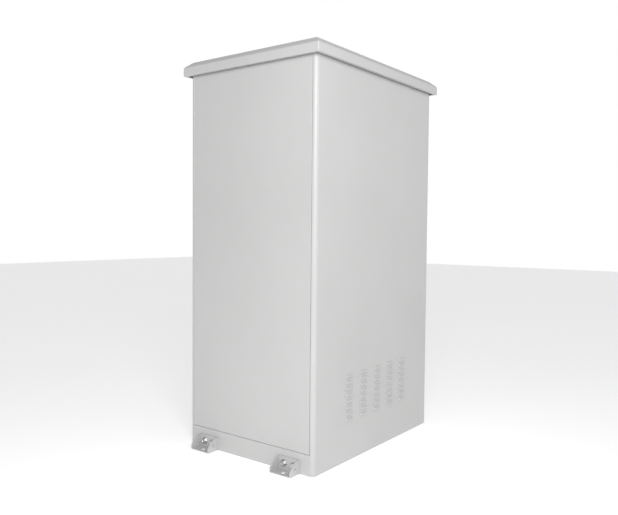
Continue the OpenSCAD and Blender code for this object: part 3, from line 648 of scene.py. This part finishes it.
class CABINET_OT_side_walls(bpy.types.Operator):
    """Folds the two side walls and presses the louvres into the left one"""
    bl_idname = "cabinet.side_walls"
    bl_label = "Side Walls"

    def execute(self, context):
        sizes = context.scene.cabinet_body
        louvres = context.scene.cabinet_louvres
        add_piece("wall_right", wall_shell(sizes), "cabinet", "body_paint", ["side_wall_right"])
        bm = wall_shell(sizes)
        bmesh.ops.scale(bm, vec=(-1.0, 1.0, 1.0), verts=bm.verts)
        bmesh.ops.recalc_face_normals(bm, faces=bm.faces)
        places = louvre_places(louvres)
        cut_windows(bm, places, louvres, sizes.sheet)
        reach = -HALF_WIDTH - LOUVRED_WALL[0].x
        for y, z in places:
            press_louvre(bm, y, z, louvres, reach)
        add_piece("wall_left", bm, "cabinet", "body_paint", ["side_wall_left"])
        return {"FINISHED"}


# ---- rain hood ----

class CABINET_OT_rain_hood(bpy.types.Operator):
    """Folds the rain hood: upright edge, sloping edge, flat top and a lip underneath"""
    bl_idname = "cabinet.rain_hood"
    bl_label = "Rain Hood"

    def execute(self, context):
        hood = context.scene.cabinet_hood
        body = context.scene.cabinet_body
        bm = bmesh.new()
        x, y, low, high = HOOD[1].x, HOOD[1].y, HOOD[0].z, HOOD[1].z
        inner = rectangle(-x + hood.lip, x - hood.lip, -y + hood.lip, y - hood.lip)
        edges = loop(bm, inner, low)
        steps = ((x, y, low), (x, y, low + hood.edge), (x - hood.run, y - hood.run, high))
        for half_x, half_y, z in steps:
            made = bmesh.ops.extrude_edge_only(bm, edges=edges)
            for vert in verts_of(made):
                vert.co = (math.copysign(half_x, vert.co.x), math.copysign(half_y, vert.co.y), z)
            edges = edges_of(made)
        bmesh.ops.contextual_create(bm, geom=edges)
        bmesh.ops.recalc_face_normals(bm, faces=bm.faces)
        if sum(face.normal.z * face.calc_area() for face in bm.faces) < 0:
            bmesh.ops.reverse_faces(bm, faces=bm.faces)
        round_edges(bm, folds(bm, angle=12.0), hood.fold, 4)
        add_piece("hood", bm, "cabinet", "body_paint", ["rain_hood"], wall=body.sheet)
        return {"FINISHED"}


# ---- flush leaves: rear panel and door ----

HOLE_FRAME = 20 * MM


def leaf_skin(low, high, depth, inner_return, fold, holes=()):
    """The outer skin of a flush leaf in its own XY plane: face, folded edges and inner return."""
    bm = bmesh.new()
    half = (high.x - low.x) / 2
    middle = (low.z + high.z) / 2
    corners = ((-half, low.z), (half, low.z), (half, high.z), (-half, high.z))
    face = bm.faces.new([bm.verts.new((x, z, 0.0)) for x, z in corners])
    sides = bmesh.ops.extrude_edge_only(bm, edges=list(face.edges))
    bmesh.ops.translate(bm, verts=verts_of(sides), vec=(0.0, 0.0, -depth))
    returns = bmesh.ops.extrude_edge_only(bm, edges=edges_of(sides))
    for vert in verts_of(returns):
        vert.co.x -= math.copysign(inner_return, vert.co.x)
        vert.co.y -= math.copysign(inner_return, vert.co.y - middle)
    bmesh.ops.recalc_face_normals(bm, faces=bm.faces)
    if face.normal.z < 0:
        bmesh.ops.reverse_faces(bm, faces=bm.faces)
    if holes:
        bmesh.ops.inset_region(bm, faces=[face], thickness=HOLE_FRAME, depth=0.0,
                               use_even_offset=True)
        edges = list(face.edges)
        bmesh.ops.delete(bm, geom=[face], context="FACES_ONLY")
        for x, y, radius in holes:
            edges += circle(bm, radius, HOLE_SIDES, x, y)
        fill(bm, edges)
    round_edges(bm, folds(bm), fold, 4)
    return bm


HOOK_SPACING = 220 * MM
HOOK_WIDTH = 30 * MM
HOOK_REACH = 16 * MM
HOOK_HEIGHT = 18 * MM
HOOK_FOOT = 2 * MM
LEVER_PIVOT = 7 * MM
KEY_PIVOT = 8 * MM


def handle_places():
    """Where the handle sits on the door: its X, the pivot's height and the key's height."""
    x = (HANDLE_PLATE[0].x + HANDLE_PLATE[1].x) / 2
    return x, LEVER[1].z - LEVER_PIVOT, PLUG[1].z - KEY_PIVOT


class CABINET_OT_rear_panel(bpy.types.Operator):
    """Folds the removable rear panel and its three hooks"""
    bl_idname = "cabinet.rear_panel"
    bl_label = "Rear Panel"

    def execute(self, context):
        sizes = context.scene.cabinet_body
        bm = leaf_skin(PANEL[0], PANEL[1], sizes.leaf_depth, sizes.panel_return, sizes.panel_fold)
        bmesh.ops.transform(bm, verts=bm.verts, matrix=facing(1, PANEL[1].y))
        bmesh.ops.solidify(bm, geom=bm.faces[:], thickness=sizes.sheet)
        t = sizes.sheet
        inner = PANEL[1].y - sizes.leaf_depth
        outer = inner - HOOK_REACH
        top, foot = LEAF[0].z + HOOK_HEIGHT, LEAF[0].z + HOOK_FOOT
        hook = [(inner, top), (outer, top, t), (outer, foot),
                (outer + t, foot), (outer + t, top - t), (inner, top - t)]
        for x in (-HOOK_SPACING, 0.0, HOOK_SPACING):
            plate(bm, hook, HOOK_WIDTH, across(x - HOOK_WIDTH / 2))
        add_piece("panel_rear", bm, "cabinet", "body_paint", ["rear_panel"])
        return {"FINISHED"}


class CABINET_OT_front_door(bpy.types.Operator):
    """Folds the front door's leaf, with holes for the handle and the key"""
    bl_idname = "cabinet.front_door"
    bl_label = "Front Door"

    def execute(self, context):
        sizes = context.scene.cabinet_body
        x, pivot_z, key_z = handle_places()
        holes = [(x, pivot_z, 10 * MM), (x, key_z, 8.6 * MM)]
        bm = leaf_skin(LEAF[0], LEAF[1], sizes.leaf_depth, sizes.door_return, sizes.fold, holes)
        bmesh.ops.transform(bm, verts=bm.verts, matrix=facing(-1, LEAF[0].y))
        bmesh.ops.solidify(bm, geom=bm.faces[:], thickness=sizes.sheet)
        add_piece("door_skin", bm, "door", "body_paint", ["door_leaf"])
        return {"FINISHED"}


# ---- anchor brackets ----

# Where an ear's outline bends, and its small hole, as a distance outwards and a height.
EAR_FRONT = 20 * MM
EAR_SHOULDER = (52 * MM, 26 * MM, 3 * MM)
EAR_WAIST = (28 * MM, 49 * MM, 4 * MM)
EAR_CREST = 20 * MM
EAR_HOLE = (28 * MM, 25 * MM, 4.5 * MM)


def bracket_frames(sizes):
    """Where each bracket stands: X along the wall, Y outwards, Z up."""
    return [Matrix.Rotation(turn, 4, "Z")
            @ Matrix.Translation((side * sizes.spacing, HALF_DEPTH, 0.0))
            for turn in (0.0, math.pi) for side in (-1, 1)]


class CABINET_OT_anchor_brackets(bpy.types.Operator):
    """Welds the four anchor brackets from a foot, a back plate and two ears"""
    bl_idname = "cabinet.anchor_brackets"
    bl_label = "Anchor Brackets"

    def execute(self, context):
        sizes = context.scene.cabinet_brackets
        bm = bmesh.new()
        half, t = sizes.width / 2, sizes.plate
        out, top = BRACKETS[1].y - HALF_DEPTH, BRACKETS[1].z
        ear = [(t, 0.0), (out, 0.0, 3 * MM), (out, EAR_FRONT, 5 * MM), EAR_SHOULDER, EAR_WAIST,
               (EAR_CREST, top, 4 * MM), (t, top)]
        for stand in bracket_frames(sizes):
            foot = rectangle(-half + t, half - t, t, out)
            plate(bm, foot, t, stand, [(0.0, sizes.anchor_out, sizes.anchor_radius)])
            back = rectangle(-half - sizes.back_rim, half + sizes.back_rim, 0.0, top, 3 * MM)
            bolts = [(side * sizes.bolt_spread, sizes.bolt_height, sizes.bolt_hole)
                     for side in (-1, 1)]
            plate(bm, back, -t, stand @ facing(1, 0.0) @ lift(t), bolts)
            for x in (-half, half - t):
                plate(bm, ear, t, stand @ across(x), [EAR_HOLE])
        close_up(bm)
        round_edges(bm, folds(bm), context.scene.cabinet_body.edge_break, 2)
        add_piece("brackets", bm, "cabinet", "body_paint", ["anchor_brackets"])
        return {"FINISHED"}


HEAD_RADIUS = 10.97 * MM
HEAD_HEIGHT = 6.3 * MM
# Steps of the crown from the rim inwards: width and rise of the chamfer, the flat and the dish.
CROWN_STEPS = ((1.5 * MM, 1.2 * MM), (2.0 * MM, 0.0), (0.6 * MM, -0.7 * MM))
SHANK_RADIUS = 6 * MM
SHANK_LENGTH = 23 * MM
SHANK_TOP = 2 * MM


class CABINET_OT_bracket_fixings(bpy.types.Operator):
    """Puts a washer and a chamfered hex bolt in each hole of the brackets"""
    bl_idname = "cabinet.bracket_fixings"
    bl_label = "Bracket Fixings"

    def execute(self, context):
        sizes = context.scene.cabinet_brackets
        washers, bolts = bmesh.new(), bmesh.new()
        for stand in bracket_frames(sizes):
            for side in (-1, 1):
                seat = stand @ facing(1, sizes.plate, side * sizes.bolt_spread, sizes.bolt_height)
                self.washer(washers, seat, sizes)
                self.bolt(bolts, seat, sizes)
        round_edges(washers, folds(washers), 0.3 * MM)
        add_piece("washers", washers, "cabinet", "zinc_steel", ["bracket_washers"])
        add_piece("bolts", bolts, "cabinet", "zinc_steel", ["bracket_bolts"], smooth=28.0)
        return {"FINISHED"}

    def washer(self, bm, seat, sizes):
        """A flat washer on its seat."""
        faces = flat_ring(bm, sizes.washer_radius, sizes.bolt_hole, CIRCLE_SIDES)
        verts = solid(bm, faces, sizes.washer)
        bmesh.ops.recalc_face_normals(bm, faces=faces_at(verts))
        bmesh.ops.transform(bm, verts=verts, matrix=seat)

    def bolt(self, bm, seat, sizes):
        """A hex head with a chamfered crown round a shallow dish, on its shank."""
        known = set(bm.verts)
        turn = Matrix.Rotation(math.radians(30.0), 4, "Z") @ lift(sizes.washer)
        made = bmesh.ops.create_circle(bm, cap_ends=True, segments=6, radius=HEAD_RADIUS,
                                       matrix=turn)["verts"]
        sides = bmesh.ops.extrude_face_region(bm, geom=[made[0].link_faces[0]])
        bmesh.ops.translate(bm, verts=verts_of(sides), vec=(0.0, 0.0, HEAD_HEIGHT))
        crown = faces_of(sides)[0]
        for width, rise in CROWN_STEPS:
            bmesh.ops.inset_region(bm, faces=[crown], thickness=width, depth=rise,
                                   use_even_offset=True)
        bmesh.ops.create_cone(bm, cap_ends=True, segments=HOLE_SIDES, radius1=SHANK_RADIUS,
                              radius2=SHANK_RADIUS, depth=SHANK_LENGTH,
                              matrix=lift(SHANK_TOP - SHANK_LENGTH / 2))
        new = [vert for vert in bm.verts if vert not in known]
        bmesh.ops.recalc_face_normals(bm, faces=faces_at(new))
        bmesh.ops.transform(bm, verts=new, matrix=seat)


# ---- door handle ----

GRIP_HALF = 12.5 * MM
GRIP_TOP = -20 * MM
GRIP_END = -164 * MM
GRIP_TAPER = 140 * MM
GRIP_FRONT = (8 * MM, 3 * MM)
GRIP_BACK = (-6 * MM, 1 * MM)
GRIP_NARROWING = 0.86
NECK_HALF = 6 * MM
NECK_DEPTH = 12.6 * MM
EYE_RADIUS = 7 * MM
PIN_RADIUS = 2.5 * MM
PIN_DEPTH = 8 * MM
PLUG_RADIUS = 8 * MM
PLUG_FACE = 1 * MM
PLUG_LENGTH = 19 * MM
SLOT_HALF = (1 * MM, 4.5 * MM)
TAIL_HALF = 5 * MM
TAIL_END = -26 * MM
TAIL_THICK = 3 * MM


class CABINET_OT_door_handle(bpy.types.Operator):
    """Models the handle's back plate, its folding lever and the key plug"""
    bl_idname = "cabinet.door_handle"
    bl_label = "Door Handle"

    def execute(self, context):
        x, pivot_z, key_z = handle_places()
        self.back_plate(x, pivot_z, key_z)
        self.lever(x, pivot_z)
        self.plug(x, key_z)
        return {"FINISHED"}

    def back_plate(self, x, pivot_z, key_z):
        """A plate with round ends and holes for the spindle and the key."""
        bm = bmesh.new()
        low, high = HANDLE_PLATE
        half = (high.x - low.x) / 2
        corners = rectangle(-half, half, low.z, high.z, 12 * MM)
        holes = [(0.0, pivot_z, 9.1 * MM), (0.0, key_z, 8.1 * MM)]
        plate(bm, corners, high.y - low.y, facing(-1, high.y, x), holes)
        close_up(bm)
        rim = [edge for edge in folds(bm)
               if all(vert.co.y < low.y + 10 * TOUCHING for vert in edge.verts)]
        round_edges(bm, rim, 1.2 * MM, 3)
        add_piece("handle_back_plate", bm, "door", "black_plastic", ["handle_plate"])

    def lever(self, x, pivot_z):
        """A tapered grip with rounded edges, a neck and a drilled eye."""
        bm = bmesh.new()
        grip = rectangle(-GRIP_HALF, GRIP_HALF, GRIP_END, GRIP_TOP - 0.5 * MM, 6 * MM)
        depth = 12 * MM
        for vert in solid(bm, flat_plate(bm, grip), depth):
            front = vert.co.z > depth / 2
            level, drop = GRIP_FRONT if front else GRIP_BACK
            vert.co.z = level - drop * min(1.0, max(0.0, (GRIP_TOP - vert.co.y) / GRIP_TAPER))
            vert.co.x *= GRIP_NARROWING if front else 1.0
        bmesh.ops.recalc_face_normals(bm, faces=bm.faces)
        round_edges(bm, folds(bm), 2.4 * MM, 4)
        neck = rectangle(-NECK_HALF, NECK_HALF, -24 * MM, -1 * MM)
        plate(bm, neck, NECK_DEPTH, lift(-NECK_DEPTH / 2))
        self.eye(bm)
        bmesh.ops.transform(bm, verts=bm.verts,
                            matrix=facing(-1, LEVER[0].y + PIN_DEPTH, x, pivot_z))
        bmesh.ops.recalc_face_normals(bm, faces=bm.faces)
        add_piece("lever_grip", bm, "lever", "black_plastic", ["handle_lever"])

    def eye(self, bm):
        """The ring round the lever's pin."""
        verts = solid(bm, flat_ring(bm, EYE_RADIUS, PIN_RADIUS, 40), 2 * NECK_HALF)
        turn = Matrix.Translation((-NECK_HALF, 0.0, 0.0)) @ Matrix.Rotation(math.pi / 2, 4, "Y")
        bmesh.ops.transform(bm, verts=verts, matrix=turn)

    def plug(self, x, key_z):
        """A round key plug with a slot in its face and a tail behind."""
        bm = bmesh.new()
        (half_x, half_y), seat = SLOT_HALF, -PLUG_LENGTH / 2 - PLUG_FACE
        edges = (circle(bm, PLUG_RADIUS, CIRCLE_SIDES)
                 + loop(bm, rectangle(-half_x, half_x, -half_y, half_y)))
        solid(bm, fill(bm, edges), -PLUG_FACE)
        bmesh.ops.create_cone(bm, cap_ends=True, segments=CIRCLE_SIDES, radius1=PLUG_RADIUS,
                              radius2=PLUG_RADIUS, depth=PLUG_LENGTH, matrix=lift(seat))
        tail = rectangle(-TAIL_HALF, TAIL_HALF, TAIL_END, 0.0, 2 * MM)
        plate(bm, tail, TAIL_THICK, lift(-PLUG_LENGTH))
        bmesh.ops.transform(bm, verts=bm.verts, matrix=facing(-1, PLUG[0].y, x, key_z))
        bmesh.ops.recalc_face_normals(bm, faces=bm.faces)
        add_piece("plug_with_slot", bm, "key", "zinc_steel", ["key_plug"])


# ---- nodes whose CAD shape is shown ----

NODE_SLOTS = {
    "body_paint": ("sill_rails", "side_rails", "corner_posts", "head_frame", "breaker_panel",
                   "door_stiffeners"),
    "galvanised_steel": ("floor_plate", "gland_plate", "roof_deck", "depth_rail_left_low",
                         "depth_rail_left_top", "depth_rail_right_low", "depth_rail_right_top",
                         "rack_rail_front_left", "rack_rail_front_right", "rack_rail_rear_left",
                         "rack_rail_rear_right", "equipment_shelf", "document_pocket"),
    "zinc_steel": ("hood_spacers", "roof_fixings", "rack_fixings", "din_rail", "fan_guards",
                   "filter_frame", "rear_panel_screws", "bracket_nuts", "hinge_frame_leaves",
                   "hinge_door_leaves", "hinge_pins", "handle_spindle", "lever_pin",
                   "lock_case", "lock_rod_upper", "lock_rod_lower"),
    "black_plastic": ("cable_glands", "gland_nuts", "power_strip", "breaker_toggle",
                      "fan_housing_front", "fan_housing_rear", "fan_rotor_front",
                      "fan_rotor_rear"),
    "seal_rubber": ("rear_gasket", "door_gasket"),
    "filter_fleece": ("filter_mat",),
    "pale_plastic": ("main_breaker",),
    "copper": ("earth_bar",),
    "red_insulator": ("earth_bar_stands",),
}


class CABINET_OT_node_finishes(bpy.types.Operator):
    """Gives each CAD node that is shown the finish of its slot"""
    bl_idname = "cabinet.node_finishes"
    bl_label = "Node Finishes"

    def execute(self, context):
        for slot, names in NODE_SLOTS.items():
            for name in names:
                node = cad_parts[name]
                node.data.materials.clear()
                node.data.materials.append(finish_for(slot))
        return {"FINISHED"}


# ---- stage ----

# The camera: its place in metres, its turns in radians, its lens in millimetres.
CAMERA_PLACE = (-1.7555, 2.3781, 0.9244)
CAMERA_YAW = 2.49524
CAMERA_PITCH = -0.04344
CAMERA_ROLL = 0.0088
CAMERA_LENS = 38.19
CAMERA_SENSOR = 36.0
FAR_AWAY = 60.0

# Each lamp: its place, the point it looks at and its size.
KEY_LAMP = ((-1.9, 2.3, 1.9), (-0.25, 0.3, 1.0), 1.2)
LOW_LAMP = ((-0.3, 1.25, 0.3), (-0.1, 0.47, 0.03), 0.4)

# The room dims between two heights, and again between two turns towards its dim side.
CEILING = (0.32, 0.75)
DIM_SIDE = (0.8, 0.6, 0.0)
DIM_TURNS = (0.45, 0.95)
FLOOR_HALF = 14.0


class StageLights(bpy.types.PropertyGroup):
    """Strength of the studio light."""
    sides: strength("Side light", "Even light from the sides", 1.0)
    top: strength("Top light", "Even light from straight above", 0.30)
    dim: strength("Dim side", "Share of light from the dim side", 0.45)
    key: strength("Key light", "Large soft light beside the camera", 52.0, unit="POWER")
    low: strength("Low light", "Small light near the floor behind the cabinet", 0.7,
                  unit="POWER")
    floor: strength("Floor glow", "Light of the lit floor table", 0.36)


def soft_light(name, place, aim, size, power):
    """A square area light turned towards a point."""
    data = bpy.data.lights.new(name, "AREA")
    data.shape = "SQUARE"
    data.size = size
    data.energy = power
    light = show(name, data)
    light.location = place
    light.rotation_euler = (Vector(aim) - Vector(place)).to_track_quat("-Z", "Y").to_euler()


class CABINET_OT_stage(bpy.types.Operator):
    """Sets up the pale floor, the soft studio light and the camera"""
    bl_idname = "cabinet.stage"
    bl_label = "Stage"

    def execute(self, context):
        lights = context.scene.cabinet_lights
        self.floor(lights.floor)
        self.surroundings(context, lights)
        soft_light("key", *KEY_LAMP, lights.key)
        soft_light("low", *LOW_LAMP, lights.low)
        self.camera(context)
        context.scene.view_settings.view_transform = "Standard"
        return {"FINISHED"}

    def surroundings(self, context, lights):
        """A white room whose ceiling and one side are dimmer."""
        world = bpy.data.worlds.new("studio")
        context.scene.world = world
        g = Graph(world)
        direction = g.node("ShaderNodeTexCoord", output="Generated")
        height = g.node("ShaderNodeSeparateXYZ", {}, {"Vector": direction}, output="Z")
        aside = g.node("ShaderNodeVectorMath", {"operation": "DOT_PRODUCT"},
                       {0: direction, 1: DIM_SIDE}, output="Value")
        level = (g.ramp(height, (CEILING[0], lights.sides), (CEILING[1], lights.top))
                 * g.ramp(aside, (DIM_TURNS[0], 1.0), (DIM_TURNS[1], lights.dim)))
        sky = g.node("ShaderNodeBackground", {}, {"Color": level, "Strength": 1.0})
        g.put_out(sky, "ShaderNodeOutputWorld")

    def floor(self, glow):
        """A wide pale floor that glows a little."""
        bm = bmesh.new()
        bmesh.ops.create_grid(bm, x_segments=2, y_segments=2, size=FLOOR_HALF)
        floor = show("floor", mesh_of("floor", bm))
        g = Graph(bpy.data.materials.new("pale_floor"))
        mottle = g.noise(g.place(), 1.2, 2.0)
        floor.data.materials.append(g.finish(
            Base_Color=g.mix(mottle, (0.90, 0.90, 0.90, 1.0), (0.93, 0.93, 0.93, 1.0)),
            Roughness=0.9,
            Emission_Color=(1.0, 1.0, 1.0, 1.0),
            Emission_Strength=glow))

    def camera(self, context):
        """The camera of the stage, from its place, turns and lens."""
        forward = Vector((math.sin(CAMERA_YAW) * math.cos(CAMERA_PITCH),
                          math.cos(CAMERA_YAW) * math.cos(CAMERA_PITCH), math.sin(CAMERA_PITCH)))
        level = Vector((math.cos(CAMERA_YAW), -math.sin(CAMERA_YAW), 0.0))
        upright = level.cross(forward)
        right = math.cos(CAMERA_ROLL) * level + math.sin(CAMERA_ROLL) * upright
        above = math.cos(CAMERA_ROLL) * upright - math.sin(CAMERA_ROLL) * level
        data = bpy.data.cameras.new("camera")
        data.lens = CAMERA_LENS
        data.sensor_width = CAMERA_SENSOR
        data.clip_end = FAR_AWAY
        camera = show("camera", data)
        turn = Matrix((right, above, -forward)).transposed().to_4x4()
        camera.matrix_world = Matrix.Translation(CAMERA_PLACE) @ turn
        context.scene.camera = camera


# ---- panel and registration ----

OPERATORS = (
    CABINET_OT_side_walls,
    CABINET_OT_rain_hood,
    CABINET_OT_rear_panel,
    CABINET_OT_front_door,
    CABINET_OT_anchor_brackets,
    CABINET_OT_bracket_fixings,
    CABINET_OT_door_handle,
    CABINET_OT_node_finishes,
    CABINET_OT_stage,
)
SETTINGS = {
    "cabinet_body": BodySizes,
    "cabinet_hood": HoodSizes,
    "cabinet_louvres": LouvreSizes,
    "cabinet_brackets": BracketSizes,
    "cabinet_finishes": Finishes,
    "cabinet_lights": StageLights,
}


class CABINET_PT_sidebar(bpy.types.Panel):
    """Lists the cabinet's operators and settings"""
    bl_idname = "CABINET_PT_sidebar"
    bl_label = "Roadside Cabinet"
    bl_space_type = "VIEW_3D"
    bl_region_type = "UI"
    bl_category = "Cabinet"

    def draw(self, context):
        for operator in OPERATORS:
            self.layout.operator(operator.bl_idname)
        for name, group in SETTINGS.items():
            box = self.layout.box()
            for setting in group.__annotations__:
                box.prop(getattr(context.scene, name), setting)


def register():
    for group in SETTINGS.values():
        bpy.utils.register_class(group)
    for name, group in SETTINGS.items():
        setattr(bpy.types.Scene, name, PointerProperty(type=group))
    for cls in OPERATORS + (CABINET_PT_sidebar,):
        bpy.utils.register_class(cls)


def unregister():
    for cls in (CABINET_PT_sidebar,) + OPERATORS[::-1]:
        bpy.utils.unregister_class(cls)
    for name, group in SETTINGS.items():
        delattr(bpy.types.Scene, name)
        bpy.utils.unregister_class(group)


def main():
    register()
    for operator in OPERATORS:
        group, name = operator.bl_idname.split(".")
        getattr(getattr(bpy.ops, group), name)()


if __name__ == "__main__":
    main()
